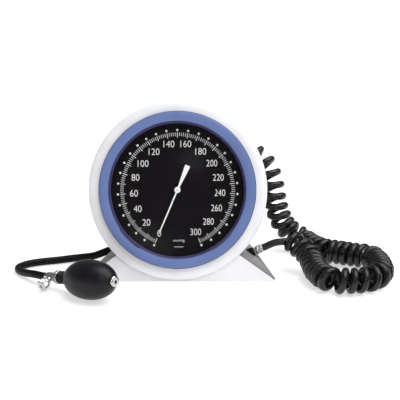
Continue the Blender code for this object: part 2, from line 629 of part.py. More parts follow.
def build_coil(parts, ports, paints):
    port = ports["cuff_port_bush"]
    ferrule = turned("tube_ferrule", [(0, 0.0150), (0.0044, 0.0150), (0.0048, 0.0144), (0.0048, 0.0080),
                                      (0.0040, 0.0074), (0.0040, 0.0055), (0, 0.0055)], paints["chrome"], 24)
    place(ferrule, parts, port)
    start = port.matrix_world @ Vector((0, 0, 0.0153))
    along = (Vector(COIL_ROUTE[1]) - Vector(COIL_ROUTE[0])).normalized()
    end = Vector(COIL_ROUTE[0]) - along * 0.0004
    route = fitted_route(start, CUFF_PORT_AXIS, LEAD_ROUTE, end, along, 0.008)
    place(tube("coil_lead_tube", route, TUBE_R, paints["rubber"]), parts)
    place(tube("coiled_tube", smooth_route(COIL_ROUTE, 0.0100), COIL_R, paints["rubber"], 2), parts)

    clip = on_dial(*CLIP_CENTRE)
    connector_half = 0.0130
    leftwards = Vector((-1, 0, 0))
    tail_start = Vector(COIL_ROUTE[-1]) + leftwards * 0.0020
    tail_end = clip - leftwards * (connector_half + GAP)
    route = fitted_route(tail_start, leftwards, [], tail_end, leftwards, 0.008)
    place(tube("coil_tail_tube", route, TUBE_R, paints["rubber"]), parts)
    body = [(0, connector_half), (0.0040, connector_half), (CONNECTOR_R, 0.0110), (CONNECTOR_R, -0.0110),
            (0.0040, -connector_half), (0, -connector_half)]
    frame = add_empty("connector_axis", parts, aimed(clip, Vector((1, 0, 0))))
    place(turned("tube_connector", body, paints["chrome"], 20), parts, frame)
    tube_start = clip + leftwards * (connector_half + GAP)
    roll_top = on_dial(*CUFF_ROLL_CENTRE) + Vector((-0.0235, 0, CUFF_ROLL_R + 0.0006))
    route = fitted_route(tube_start, leftwards, CUFF_TUBE_ROUTE, roll_top, Vector((0, 0, -1)), 0.008)
    place(tube("cuff_tube", route, TUBE_R, paints["rubber"]), parts)


# ---------------------------------------------------------------- bulb, release valve and hose

def build_bulb(parts, cutters, ports, paints):
    axis = add_empty("bulb_axis", parts, aimed(BULB_CENTRE, BULB_AXIS))
    steps = 14
    body = []
    for i in range(1, steps):
        angle = math.pi * i / steps
        if abs(math.cos(angle)) > 0.93:
            continue
        body.append((BULB_R * math.sin(angle) ** 0.9, BULB_HALF_LENGTH * math.cos(angle)))
    intake_mouth, intake_floor = 0.0350, 0.0260
    socket = [(0, intake_floor), (0.0048, intake_floor), (0.0048, intake_mouth), (0.0066, intake_mouth)]
    neck = [(0.0072, -0.0352), (0.0072, NECK_END), (0, NECK_END)]
    place(turned("bulb", socket + body + neck, paints["rubber"], 32), parts, axis)

    intake = turned("air_intake", [(0.0015, 0.0388), (0.0050, 0.0388), (0.0058, 0.0378), (0.0058, 0.0353),
                                   (0.0044, 0.0353), (0.0044, 0.0270), (0.0034, 0.0270), (0.0034, 0.0367),
                                   (0.0015, 0.0367)], paints["chrome"], 24, ring=True)
    place(intake, parts, axis)
    disc = turned("intake_disc", [(0, 0.0360), (0.0030, 0.0360), (0.0030, 0.0352), (0, 0.0352)],
                  paints["rubber"], 16)
    place(disc, parts, axis)
    top = NECK_END - GAP
    collar = turned("valve_collar", [(0, top), (0.0068, top), (0.0075, top - 0.0007), (0.0075, top - 0.0043),
                                     (0.0068, top - 0.0050), (0, top - 0.0050)], paints["chrome"], 28)
    place(collar, parts, axis)
    top -= 0.0050 + GAP
    valve = turned("release_valve_body", [(0, top), (0.0050, top), (0.0050, VALVE_END + 0.0040),
                                          (0.0038, VALVE_END + 0.0034), (0.0038, VALVE_END), (0, VALVE_END)],
                   paints["chrome"], 24)
    place(valve, parts, axis)

    outwards = Vector((-1, -0.33, 0)).normalized()
    knob_frame = Matrix.Translation((0, 0, KNOB_STATION)) @ outwards.to_track_quat("Z", "Y").to_matrix().to_4x4()
    knob_axis = add_empty("knob_axis", parts, aimed(BULB_CENTRE, BULB_AXIS) @ knob_frame)
    seat = turned("needle_seat_cutter", [(0, 0.0120), (NEEDLE_R + 0.0003, 0.0120), (NEEDLE_R + 0.0003, 0.0010),
                                         (0, 0.0010)], None, 16)
    place(seat, cutters, knob_axis)
    cut(valve, seat)
    boss = turned("valve_boss", [(0.0018, 0.0078), (0.0030, 0.0078), (0.0036, 0.0072), (0.0036, 0.0056),
                                 (0.0018, 0.0056)], paints["chrome"], 20, ring=True)
    place(boss, parts, knob_axis)
    flutes, per_flute = 20, 3
    knob_r, depth = 0.0062, 0.0004
    edge = []
    for i in range(flutes * per_flute):
        radius = knob_r - (depth if i % per_flute == 0 else 0)
        angle = 2 * math.pi * i / (flutes * per_flute)
        edge.append((radius * math.cos(angle), radius * math.sin(angle)))
    knob_length = 0.0100
    place(plate("release_knob", [edge, circle(0.0016, sides=16)], 0, knob_length, paints["chrome"]), parts, knob_axis,
          (0, 0, KNOB_START + knob_length / 2))
    needle = turned("valve_needle", [(0, 0.0185), (NEEDLE_R, 0.0185), (NEEDLE_R, 0.0028), (0, 0.0014)],
                    paints["steel"], 16)
    place(needle, parts, knob_axis)

    hose_start = ports["bulb_port_bush"].matrix_world @ Vector((0, 0, 0.0043))
    hose_end = BULB_CENTRE + BULB_AXIS * (VALVE_END - GAP)
    route = fitted_route(hose_start, BULB_PORT_AXIS, HOSE_ROUTE, hose_end, BULB_AXIS, 0.0090)
    place(tube("bulb_hose", route, HOSE_R, paints["rubber"]), parts)


# ---------------------------------------------------------------- the whole instrument

def make_paints():
    return {
        "white": material("white_plastic", (0.86, 0.86, 0.87), 0.35),
        "blue": material("blue_plastic", (0.145, 0.195, 0.44), 0.40),
        "grey": material("grey_plastic", (0.30, 0.29, 0.30), 0.45),
        "dark_grey": material("dark_plastic", (0.12, 0.12, 0.13), 0.50),
        "clear": material("clear_glass", (0.95, 0.96, 0.97), 0.05),
        "black": material("dial_black", (0.006, 0.005, 0.007), 0.55),
        "pointer_white": material("pointer_white", (0.90, 0.90, 0.90), 0.40),
        "rubber": material("black_rubber", (0.018, 0.017, 0.019), 0.45),
        "chrome": material("chrome", (0.80, 0.80, 0.82), 0.12, 1.0),
        "steel": material("steel", (0.55, 0.55, 0.57), 0.30, 1.0),
        "brass": material("brass", (0.72, 0.52, 0.22), 0.30, 1.0),
        "fabric": material("navy_cloth", (0.02, 0.03, 0.08), 0.90),
    }


def build():
    clear_scene()
    parts = new_collection("desk_sphygmomanometer")
    cutters = new_collection("cutters")
    paints = make_paints()
    dial_matrix = Matrix.Translation(DIAL_CENTRE) @ Matrix.Rotation(math.pi / 2 - DIAL_TILT, 4, "X")
    dial = add_empty("dial_axis", parts, dial_matrix)
    _, cover = build_housing(parts, cutters, dial, paints)
    build_movement(parts, dial, paints)
    build_pointer(parts, dial, paints)
    shell = build_stand(parts, cutters, dial, paints)
    ports = build_ports(parts, cutters, shell, paints)
    bpy.context.view_layer.update()
    build_airway(parts, cutters, shell, ports, paints)
    build_basket(parts, cutters, dial, cover, paints)
    build_clip(parts, dial, paints)
    build_coil(parts, ports, paints)
    build_bulb(parts, cutters, ports, paints)


build()
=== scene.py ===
"""The looks of a desk aneroid sphygmomanometer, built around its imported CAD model."""
import json
import math

import bmesh
import bpy
from mathutils import Matrix, Vector


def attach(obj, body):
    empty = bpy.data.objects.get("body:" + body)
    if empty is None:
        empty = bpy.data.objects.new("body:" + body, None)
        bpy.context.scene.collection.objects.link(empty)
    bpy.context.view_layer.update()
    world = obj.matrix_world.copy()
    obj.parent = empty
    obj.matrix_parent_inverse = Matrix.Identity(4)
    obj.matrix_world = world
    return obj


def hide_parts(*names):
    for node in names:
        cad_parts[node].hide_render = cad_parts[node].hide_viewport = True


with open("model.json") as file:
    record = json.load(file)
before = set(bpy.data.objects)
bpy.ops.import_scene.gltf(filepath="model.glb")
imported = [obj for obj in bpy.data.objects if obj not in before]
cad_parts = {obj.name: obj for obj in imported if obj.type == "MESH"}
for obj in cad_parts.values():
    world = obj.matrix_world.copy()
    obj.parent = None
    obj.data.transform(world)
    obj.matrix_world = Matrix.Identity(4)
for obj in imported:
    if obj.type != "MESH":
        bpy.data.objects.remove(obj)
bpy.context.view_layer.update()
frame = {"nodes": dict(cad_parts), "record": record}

# ---------------------------------------------------------------- sizes in metres, as in the CAD unless noted

DIAL_TILT = math.radians(15)
DIAL_CENTRE = Vector((0, -0.0413, 0.0984))
DIAL = Matrix.Translation(DIAL_CENTRE) @ Matrix.Rotation(math.pi / 2 - DIAL_TILT, 4, "X")
DIAL_TOP = 0.0027
MMHG_TOP = 300
SCALE_START = math.radians(23.25)            # zero, clockwise from straight down
SCALE_STEP = math.radians(1.045)             # per mmHg

BULB_CENTRE = Vector((-0.0899, -0.1255, 0.0222))
BULB_AXIS = Vector((0.780, -0.606, 0.152)).normalized()
BULB_R = 0.0216
BULB_HALF_LENGTH = 0.0350
NECK_END = -0.0472
VALVE_END = -0.0706
KNOB_STATION = -0.0600
KNOB_START = 0.0092

HOSE_R = 0.0043
TUBE_R = 0.0038
COIL_R = 0.01475
COIL_TUBE_R = 0.0041                         # as it looks; the CAD's tube is TUBE_R
CONNECTOR_R = 0.0045
CONNECTOR_HALF = 0.0130
CUFF_PORT = Vector((0.07987, -0.025985, 0.020107))           # both ports as part.py works them out
CUFF_PORT_AXIS = Vector((0.93, 0.10, 0.35)).normalized()
BULB_PORT = Vector((-0.079087, -0.003040, 0.018558))
BULB_PORT_AXIS = Vector((-0.91, 0.02, -0.41)).normalized()
CLIP_CENTRE = DIAL @ Vector((0.030, 0.050, -0.068))
CUFF_ROLL_CENTRE = DIAL @ Vector((0, -0.0095, -0.0836))
CUFF_ROLL_R = 0.0320
CUFF_BUSH_REACH = 0.0052
BULB_BUSH_REACH = 0.0040
FERRULE_END = 0.0150
GAP = 0.0003

# Most points of the coil's route and half of the hose's were read off the photograph and turned to metres
# by a measuring script; the others were chosen by hand. The coil's last bend, behind the housing, runs up
# to 7 mm inside the CAD's.
COIL_ROUTE = [
    (0.1176, -0.0240, 0.0325), (0.1260, -0.0250, 0.0322), (0.1360, -0.0300, 0.0290),
    (0.1480, -0.0440, 0.0200), (0.1525, -0.0719, 0.0152), (0.1608, -0.0982, 0.0152),
    (0.1705, -0.1095, 0.0152), (0.1823, -0.1105, 0.0152), (0.1944, -0.1093, 0.0152),
    (0.2074, -0.1044, 0.0152), (0.2182, -0.0928, 0.0152), (0.2239, -0.0706, 0.0152),
    (0.2200, -0.0342, 0.0152), (0.2086, -0.0226, 0.0152), (0.1939, -0.0161, 0.0152),
    (0.1803, -0.0084, 0.0152), (0.1672, -0.0026, 0.0152), (0.1540, 0.0151, 0.0152),
    (0.1434, 0.0393, 0.0160), (0.1326, 0.0420, 0.0222), (0.1233, 0.0450, 0.0297),
    (0.1167, 0.0450, 0.0405), (0.1127, 0.0450, 0.0521), (0.1098, 0.0450, 0.0644),
    (0.1076, 0.0450, 0.0787), (0.1039, 0.0450, 0.0941), (0.0970, 0.0450, 0.1080),
    (0.0866, 0.0450, 0.1172), (0.0760, 0.0435, 0.1235), (0.0620, 0.0369, 0.1291),
]
LEAD_ROUTE = [(0.1040, -0.0238, 0.0298), (0.1090, -0.0237, 0.0315)]
HOSE_ROUTE = [
    (-0.1023, 0.0024, 0.0080), (-0.1127, 0.0040, 0.0060), (-0.1221, 0.0040, 0.0050),
    (-0.1333, 0.0009, 0.0046), (-0.1450, -0.0040, 0.0046), (-0.1567, -0.0077, 0.0046),
    (-0.1662, -0.0114, 0.0046), (-0.1750, -0.0165, 0.0046), (-0.1811, -0.0224, 0.0046),
    (-0.1847, -0.0286, 0.0046), (-0.1852, -0.0350, 0.0046), (-0.1815, -0.0440, 0.0048),
    (-0.1730, -0.0560, 0.0066), (-0.1610, -0.0690, 0.0095),
]
CUFF_TUBE_ROUTE = [
    (0.0060, 0.0369, 0.1291), (-0.0080, 0.0369, 0.1280), (-0.0190, 0.0369, 0.1215),
    (-0.0230, 0.0369, 0.1120),
]

# ---------------------------------------------------------------- camera, lights and floor

VIEW_AZIMUTH = math.radians(2.5)
VIEW_ELEVATION = math.radians(15)
VIEW_ROLL = math.radians(0.9)
VIEW_DISTANCE = 1.30
VIEW_WIDTH = 0.4452                          # across the picture at the dial, in metres
DIAL_FROM_MIDDLE = (-0.02482, 0.01113)       # the dial's middle from the picture's: right, up, in metres
SENSOR_MM = 36

WORLD_COLOUR = (0.97, 0.98, 1.0, 1)
WORLD_STRENGTH = 0.25
OVERHEAD_STRENGTH = 3.4
OVERHEAD_SPREAD = math.radians(65)
OVERHEAD_WAY = Vector((-0.42, 0.06, -1.0))   # down and a little to the left
SOFTBOX_PLACE = Vector((0.04, -1.25, 0.68))
SOFTBOX_TARGET = Vector((-0.08, -0.12, 0.03))
SOFTBOX_SIZE = 0.20
SOFTBOX_POWER = 1.6
FLOOR_SIZE = 12
FLOOR_PAINT = (0.62, 0.62, 0.62, 1)
FLOOR_GLOW = 0.58                            # lifts the table towards the photograph's white


def make_camera():
    forward = Vector((-math.sin(VIEW_AZIMUTH) * math.cos(VIEW_ELEVATION),
                      math.cos(VIEW_AZIMUTH) * math.cos(VIEW_ELEVATION), -math.sin(VIEW_ELEVATION)))
    level = Vector((math.cos(VIEW_AZIMUTH), math.sin(VIEW_AZIMUTH), 0))
    upright = level.cross(forward)
    right = level * math.cos(VIEW_ROLL) - upright * math.sin(VIEW_ROLL)
    up = level * math.sin(VIEW_ROLL) + upright * math.cos(VIEW_ROLL)
    eye = DIAL_CENTRE - forward * VIEW_DISTANCE
    eye -= right * DIAL_FROM_MIDDLE[0] + up * DIAL_FROM_MIDDLE[1]
    data = bpy.data.cameras.new("camera")
    data.sensor_width = SENSOR_MM
    data.lens = VIEW_DISTANCE / VIEW_WIDTH * SENSOR_MM
    data.clip_start = 0.05
    data.clip_end = 20
    camera = bpy.data.objects.new("camera", data)
    bpy.context.collection.objects.link(camera)
    camera.matrix_world = Matrix.Translation(eye) @ Matrix((right, up, -forward)).transposed().to_4x4()
    bpy.context.scene.camera = camera


def add_lamp(name, kind, matrix, strength):
    data = bpy.data.lights.new(name, kind)
    data.energy = strength
    lamp = bpy.data.objects.new(name, data)
    bpy.context.collection.objects.link(lamp)
    lamp.matrix_world = matrix
    return data


def shining(way):
    """The rotation of a lamp that shines along way."""
    return way.to_track_quat("-Z", "Y").to_matrix().to_4x4()


def make_floor():
    bpy.ops.mesh.primitive_plane_add(size=FLOOR_SIZE)
    floor = bpy.context.object
    floor.name = "floor"
    paint = bpy.data.materials.new("floor")
    paint.use_nodes = True
    shader = paint.node_tree.nodes["Principled BSDF"]
    shader.inputs["Base Color"].default_value = FLOOR_PAINT
    shader.inputs["Roughness"].default_value = 0.8
    shader.inputs["Specular IOR Level"].default_value = 0.0
    shader.inputs["Emission Color"].default_value = (1, 1, 1, 1)
    shader.inputs["Emission Strength"].default_value = FLOOR_GLOW
    floor.data.materials.append(paint)


def make_stage():
    make_floor()
    world = bpy.data.worlds.new("studio")
    bpy.context.scene.world = world
    world.use_nodes = True
    world.node_tree.nodes["Background"].inputs["Color"].default_value = WORLD_COLOUR
    world.node_tree.nodes["Background"].inputs["Strength"].default_value = WORLD_STRENGTH
    overhead = add_lamp("overhead", "SUN", shining(OVERHEAD_WAY), OVERHEAD_STRENGTH)
    overhead.angle = OVERHEAD_SPREAD
    softbox_matrix = Matrix.Translation(SOFTBOX_PLACE) @ shining(SOFTBOX_TARGET - SOFTBOX_PLACE)
    softbox = add_lamp("softbox", "AREA", softbox_matrix, SOFTBOX_POWER)
    softbox.shape = "DISK"
    softbox.size = SOFTBOX_SIZE
    bpy.context.scene.view_settings.view_transform = "Standard"


# ---------------------------------------------------------------- materials

def new_paint(name):
    paint = bpy.data.materials.new(name)
    paint.use_nodes = True
    return paint, paint.node_tree.nodes, paint.node_tree.links, paint.node_tree.nodes["Principled BSDF"]


def add_node(nodes, kind, **values):
    node = nodes.new(kind)
    for key, value in values.items():
        if key in node.inputs:
            node.inputs[key].default_value = value
        else:
            setattr(node, key, value)
    return node


def noise(nodes, links, scale, detail=3.0):
    place = add_node(nodes, "ShaderNodeTexCoord")
    grain = add_node(nodes, "ShaderNodeTexNoise", Scale=scale, Detail=detail)
    links.new(place.outputs["Object"], grain.inputs["Vector"])
    return grain


def spread(nodes, links, source, low, high, start=0.35, end=0.65):
    """Maps a noise value to a range of roughness or height."""
    ramp = add_node(nodes, "ShaderNodeMapRange")
    ramp.inputs["From Min"].default_value = start
    ramp.inputs["From Max"].default_value = end
    ramp.inputs["To Min"].default_value = low
    ramp.inputs["To Max"].default_value = high
    links.new(source.outputs[0], ramp.inputs["Value"])
    return ramp


def tint(nodes, links, source, colour_a, colour_b, target):
    ramp = add_node(nodes, "ShaderNodeValToRGB")
    ramp.color_ramp.elements[0].position = 0.35
    ramp.color_ramp.elements[1].position = 0.65
    ramp.color_ramp.elements[0].color = (*colour_a, 1)
    ramp.color_ramp.elements[1].color = (*colour_b, 1)
    links.new(source.outputs[0], ramp.inputs["Fac"])
    links.new(ramp.outputs["Color"], target)


def bump(nodes, links, source, strength, distance, shader):
    node = add_node(nodes, "ShaderNodeBump", Strength=strength, Distance=distance)
    links.new(source.outputs[0], node.inputs["Height"])
    links.new(node.outputs["Normal"], shader.inputs["Normal"])


def moulded(name, colour, roughness, grain_size=1400, grain=0.12, coat=0.0, shade=0.03, shine=0.5):
    """Moulded plastic or painted sheet: a faint grain and slightly uneven tone and gloss."""
    paint, nodes, links, shader = new_paint(name)
    cloud = noise(nodes, links, 38, 4)
    darker = tuple(c * (1 - shade) for c in colour)
    lighter = tuple(min(1, c * (1 + shade)) for c in colour)
    tint(nodes, links, cloud, darker, lighter, shader.inputs["Base Color"])
    links.new(spread(nodes, links, cloud, roughness * 0.88, roughness * 1.12).outputs[0],
              shader.inputs["Roughness"])
    bump(nodes, links, noise(nodes, links, grain_size, 2), grain, 0.00004, shader)
    shader.inputs["Specular IOR Level"].default_value = shine
    shader.inputs["Coat Weight"].default_value = coat
    shader.inputs["Coat Roughness"].default_value = 0.12
    return paint


def rubbery(name, colour, roughness, shine=0.3):
    """Black rubber: fine pores, and a dusty, uneven gloss."""
    paint, nodes, links, shader = new_paint(name)
    dust = noise(nodes, links, 90, 6)
    tint(nodes, links, dust, colour, tuple(c * 1.5 for c in colour), shader.inputs["Base Color"])
    links.new(spread(nodes, links, dust, roughness * 0.85, roughness * 1.2).outputs[0],
              shader.inputs["Roughness"])
    bump(nodes, links, noise(nodes, links, 2600, 2), 0.18, 0.00003, shader)
    shader.inputs["Specular IOR Level"].default_value = shine
    return paint


def metal(name, colour, roughness, scratch=0.25, scale=(1, 1, 1), grain=300):
    """Plated or turned metal: long fine scratches and slightly uneven polish."""
    paint, nodes, links, shader = new_paint(name)
    place = add_node(nodes, "ShaderNodeTexCoord")
    stretch = add_node(nodes, "ShaderNodeMapping", Scale=scale)
    lines = add_node(nodes, "ShaderNodeTexNoise", Scale=grain, Detail=4.0)
    links.new(place.outputs["Object"], stretch.inputs["Vector"])
    links.new(stretch.outputs["Vector"], lines.inputs["Vector"])
    shader.inputs["Metallic"].default_value = 1
    tint(nodes, links, lines, tuple(c * 0.93 for c in colour), colour, shader.inputs["Base Color"])
    links.new(spread(nodes, links, lines, roughness * 0.8, roughness * 1.3).outputs[0],
              shader.inputs["Roughness"])
    bump(nodes, links, lines, scratch, 0.00002, shader)
    return paint


def printed(name, colour):
    """Screen-printed ink, slightly uneven."""
    paint, nodes, links, shader = new_paint(name)
    tint(nodes, links, noise(nodes, links, 700, 3), tuple(c * 0.92 for c in colour), colour,
         shader.inputs["Base Color"])
    shader.inputs["Roughness"].default_value = 0.5
    return paint


def glassy(name):
    """Clear, anti-glare acrylic: nearly all light passes straight through, with a faint uneven haze."""
    paint, nodes, links, shader = new_paint(name)
    shader.inputs["Base Color"].default_value = (0.04, 0.04, 0.045, 1)
    haze = noise(nodes, links, 25, 3)
    links.new(spread(nodes, links, haze, 0.010, 0.020).outputs[0], shader.inputs["Alpha"])
    links.new(spread(nodes, links, haze, 0.08, 0.14).outputs[0], shader.inputs["Roughness"])
    return paint


def woven(name, colour, thread=0.00055):
    """Nylon cloth: crossed threads in height and tone."""
    paint, nodes, links, shader = new_paint(name)
    place = add_node(nodes, "ShaderNodeTexCoord")
    waves = []
    for direction in ("X", "Z"):
        wave = add_node(nodes, "ShaderNodeTexWave", wave_type="BANDS", bands_direction=direction)
        wave.inputs["Scale"].default_value = 0.314 / thread
        wave.inputs["Distortion"].default_value = 0.4
        links.new(place.outputs["Object"], wave.inputs["Vector"])
        waves.append(wave)
    weave = add_node(nodes, "ShaderNodeMath", operation="MULTIPLY")
    links.new(waves[0].outputs["Fac"], weave.inputs[0])
    links.new(waves[1].outputs["Fac"], weave.inputs[1])
    fade = noise(nodes, links, 60, 4)
    both = add_node(nodes, "ShaderNodeMath", operation="ADD")
    links.new(weave.outputs[0], both.inputs[0])
    links.new(fade.outputs[0], both.inputs[1])
    half = add_node(nodes, "ShaderNodeMath", operation="MULTIPLY")
    half.inputs[1].default_value = 0.55
    links.new(both.outputs[0], half.inputs[0])
    tint(nodes, links, half, tuple(c * 0.7 for c in colour), tuple(c * 1.35 for c in colour),
         shader.inputs["Base Color"])
    shader.inputs["Roughness"].default_value = 0.85
    shader.inputs["Sheen Weight"].default_value = 0.35
    bump(nodes, links, weave, 0.6, 0.00018, shader)
    return paint


PAINTS = {
    "white_plastic": moulded("white_plastic", (0.84, 0.84, 0.855), 0.34, coat=0.15),
    "blue_plastic": moulded("blue_plastic", (0.116, 0.172, 0.395), 0.42, grain=0.2, shade=0.06),
    # A darker copy of the blue plastic: painted shade for the bezel's inner chamfer and the patches beside
    # it.
    "blue_painted_shade": moulded("blue_painted_shade", (0.042, 0.033, 0.110), 0.40, shade=0.08),
    "grey_plastic": moulded("grey_plastic", (0.25, 0.235, 0.245), 0.42, shade=0.06),
    "dark_plastic": moulded("dark_plastic", (0.06, 0.06, 0.065), 0.55, grain=0.3),
    "dial_black": moulded("dial_black", (0.0040, 0.0025, 0.0040), 0.62, grain=0.05, shade=0.2, shine=0.08),
    "pointer_paint": moulded("pointer_paint", (0.95, 0.95, 0.95), 0.4),
    "black_rubber": rubbery("black_rubber", (0.0025, 0.0020, 0.0028), 0.45, 0.12),
    "coil_rubber": rubbery("coil_rubber", (0.0042, 0.0036, 0.0048), 0.28, 0.38),
    "bulb_rubber": rubbery("bulb_rubber", (0.0045, 0.0034, 0.0052), 0.40, 0.22),
    "chrome": metal("chrome", (0.52, 0.51, 0.52), 0.12, 0.08),
    "steel": metal("steel", (0.48, 0.48, 0.50), 0.28, 0.1, (1, 1, 14)),
    "brass": metal("brass", (0.73, 0.53, 0.23), 0.28, 0.25, (1, 12, 1)),
    "ink": printed("ink", (0.86, 0.86, 0.86)),
    "cuff_cloth": woven("cuff_cloth", (0.020, 0.028, 0.075)),
    "hook_tape": woven("hook_tape", (0.012, 0.012, 0.014), 0.0011),
    "glass": glassy("glass"),
}


# ---------------------------------------------------------------- mesh tools

def finish_piece(name, mesh, paint, body, replaces=(), matrix=None, sharp=35):
    """Links a mesh as a piece on a body. matrix is baked in, so that pieces stay at the origin."""
    if matrix is not None:
        mesh.transform(matrix)
    mesh.materials.clear()
    mesh.materials.append(PAINTS[paint])
    mesh.shade_smooth()
    mesh.set_sharp_from_angle(angle=math.radians(sharp))
    piece = bpy.data.objects.new(name, mesh)
    bpy.context.collection.objects.link(piece)
    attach(piece, body)
    if replaces:
        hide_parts(*replaces)
    return piece


def filleted(profile, radius, steps=3, ring=False):
    """A profile with its corners rounded off."""
    points = [Vector(p) for p in profile]
    out = []
    last = len(points) - 1
    for i, point in enumerate(points):
        if not ring and i in (0, last):
            out.append(point)
            continue
        before = points[i - 1] - point
        after = points[(i + 1) % len(points)] - point
        reach = min(radius, before.length * 0.45, after.length * 0.45)
        start = point + before.normalized() * reach
        end = point + after.normalized() * reach
        for k in range(steps + 1):
            t = k / steps
            out.append(start.lerp(point, t).lerp(point.lerp(end, t), t))
    return [(p.x, p.y) for p in out]


def lathe(profile, steps=96, ring=False, shape=None):
    """A turned mesh about Z. shape(radius, height, angle) may change the radius, as for flutes."""
    bm = bmesh.new()
    columns = []
    for i in range(steps):
        angle = 2 * math.pi * i / steps
        column = []
        for radius, height in profile:
            r = shape(radius, height, angle) if shape else radius
            column.append(bm.verts.new((r * math.cos(angle), r * math.sin(angle), height)))
        columns.append(column)
    count = len(profile)
    for i in range(steps):
        one, two = columns[i], columns[(i + 1) % steps]
        for k in range(count if ring else count - 1):
            j = (k + 1) % count
            bm.faces.new((one[k], one[j], two[j], two[k]))
    bmesh.ops.remove_doubles(bm, verts=bm.verts, dist=0.000001)
    bmesh.ops.recalc_face_normals(bm, faces=bm.faces)
    mesh = bpy.data.meshes.new("lathe")
    bm.to_mesh(mesh)
    bm.free()
    return mesh


def extruded(outlines, low, high, bevel=0.0, segments=2):
    """A flat piece with its outline's edges rounded."""
    curve = bpy.data.curves.new("outline", "CURVE")
    curve.dimensions = "2D"
    curve.fill_mode = "BOTH"
    curve.extrude = (high - low) / 2 - bevel
    curve.bevel_depth = bevel
    curve.bevel_resolution = segments
    curve.offset = -bevel
    for outline in outlines:
        spline = curve.splines.new("POLY")
        spline.points.add(len(outline) - 1)
        for point, (x, y) in zip(spline.points, outline):
            point.co = (x, y, 0, 1)
        spline.use_cyclic_u = True
    holder = bpy.data.objects.new("outline", curve)
    bpy.context.collection.objects.link(holder)
    mesh = bpy.data.meshes.new_from_object(holder.evaluated_get(bpy.context.evaluated_depsgraph_get()))
    bpy.data.objects.remove(holder)
    bpy.data.curves.remove(curve)
    bm = bmesh.new()
    bm.from_mesh(mesh)
    bmesh.ops.remove_doubles(bm, verts=bm.verts, dist=0.000001)
    bmesh.ops.translate(bm, vec=(0, 0, (low + high) / 2), verts=bm.verts)
    bm.to_mesh(mesh)
    bm.free()
    return mesh


def circle(radius, x=0.0, y=0.0, sides=48):
    turn = 2 * math.pi / sides
    return [(x + radius * math.cos(i * turn), y + radius * math.sin(i * turn)) for i in range(sides)]


def aimed(point, direction):
    return Matrix.Translation(point) @ direction.to_track_quat("Z", "Y").to_matrix().to_4x4()


FLAT_ANGLE = math.radians(3)     # faces that meet at less than this are one face
EDGE_ANGLE = math.radians(25)    # edges sharper than this are rounded


def refined(node, paint, width):
    """A copy of a CAD node, given the named paint, with its flat faces joined and its edges rounded."""
    bm = bmesh.new()
    bm.from_mesh(frame["nodes"][node].data)
    bmesh.ops.remove_doubles(bm, verts=bm.verts, dist=0.00001)
    bmesh.ops.dissolve_limit(bm, angle_limit=FLAT_ANGLE, verts=bm.verts, edges=bm.edges)
    edges = [e for e in bm.edges if len(e.link_faces) == 2 and e.calc_face_angle(0) > EDGE_ANGLE]
    bmesh.ops.bevel(bm, geom=edges, offset=width, segments=2, profile=0.5, affect="EDGES", clamp_overlap=True)
    mesh = bpy.data.meshes.new(node + "_fine")
    bm.to_mesh(mesh)
    bm.free()
    finish_piece(node + "_fine", mesh, paint, "root", [node], sharp=40)


# ---------------------------------------------------------------- tubes

def smooth_route(points, spacing):
    """Points at even spacing along a Catmull-Rom curve through the given points."""
    knots = [Vector(p) for p in points]
    knots = [2 * knots[0] - knots[1]] + knots + [2 * knots[-1] - knots[-2]]
    fine = []
    steps = 24
    for a, b, c, d in zip(knots, knots[1:], knots[2:], knots[3:]):
        for i in range(steps):
            t = i / steps
            fine.append(0.5 * (2 * b + (c - a) * t + (2 * a - 5 * b + 4 * c - d) * t * t
                               + (3 * b - a - 3 * c + d) * t ** 3))
    fine.append(knots[-2])
    length = sum((q - p).length for p, q in zip(fine, fine[1:]))
    count = max(2, round(length / spacing))
    route = [fine[0]]
    target = length / count
    walked = 0.0
    for p, q in zip(fine, fine[1:]):
        step = (q - p).length
        while len(route) < count and walked + step >= target * len(route):
            route.append(p.lerp(q, (target * len(route) - walked) / step))
        walked += step
    route.append(fine[-1])
    return route


def route_length(route):
    return sum((b - a).length for a, b in zip(route, route[1:]))


def tube_piece(name, route, radius, paint, replaces, resolution=5):
    curve = bpy.data.curves.new(name, "CURVE")
    curve.dimensions = "3D"
    curve.bevel_depth = radius
    curve.bevel_resolution = resolution
    curve.use_fill_caps = True
    spline = curve.splines.new("POLY")
    spline.points.add(len(route) - 1)
    for point, place in zip(spline.points, route):
        point.co = (*place, 1)
    spline.use_smooth = True
    curve.materials.append(PAINTS[paint])
    piece = bpy.data.objects.new(name, curve)
    bpy.context.collection.objects.link(piece)
    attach(piece, "root")
    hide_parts(*replaces)
    return piece


COIL_PITCHES = [(0.020, 0.0085), (0.035, 0.0096), (0.050, 0.0124), (0.075, 0.0142)]   # height, pitch
COIL_GROWTH = 0.011              # length over which the first and last turns open and close
TURN_POINTS = 18
STUB = 0.004                     # straight length at a tube's end


def hanging_pitch(height):
    """The pitch of the coil where it hangs: it is drawn out further up."""
    if height <= COIL_PITCHES[0][0]:
        return COIL_PITCHES[0][1]
    for (low, first), (high, second) in zip(COIL_PITCHES, COIL_PITCHES[1:]):
        if height < high:
            return first + (second - first) * (height - low) / (high - low)
    return COIL_PITCHES[-1][1]


def eased(value):
    value = min(1, max(0, value))
    return value * value * (3 - 2 * value)


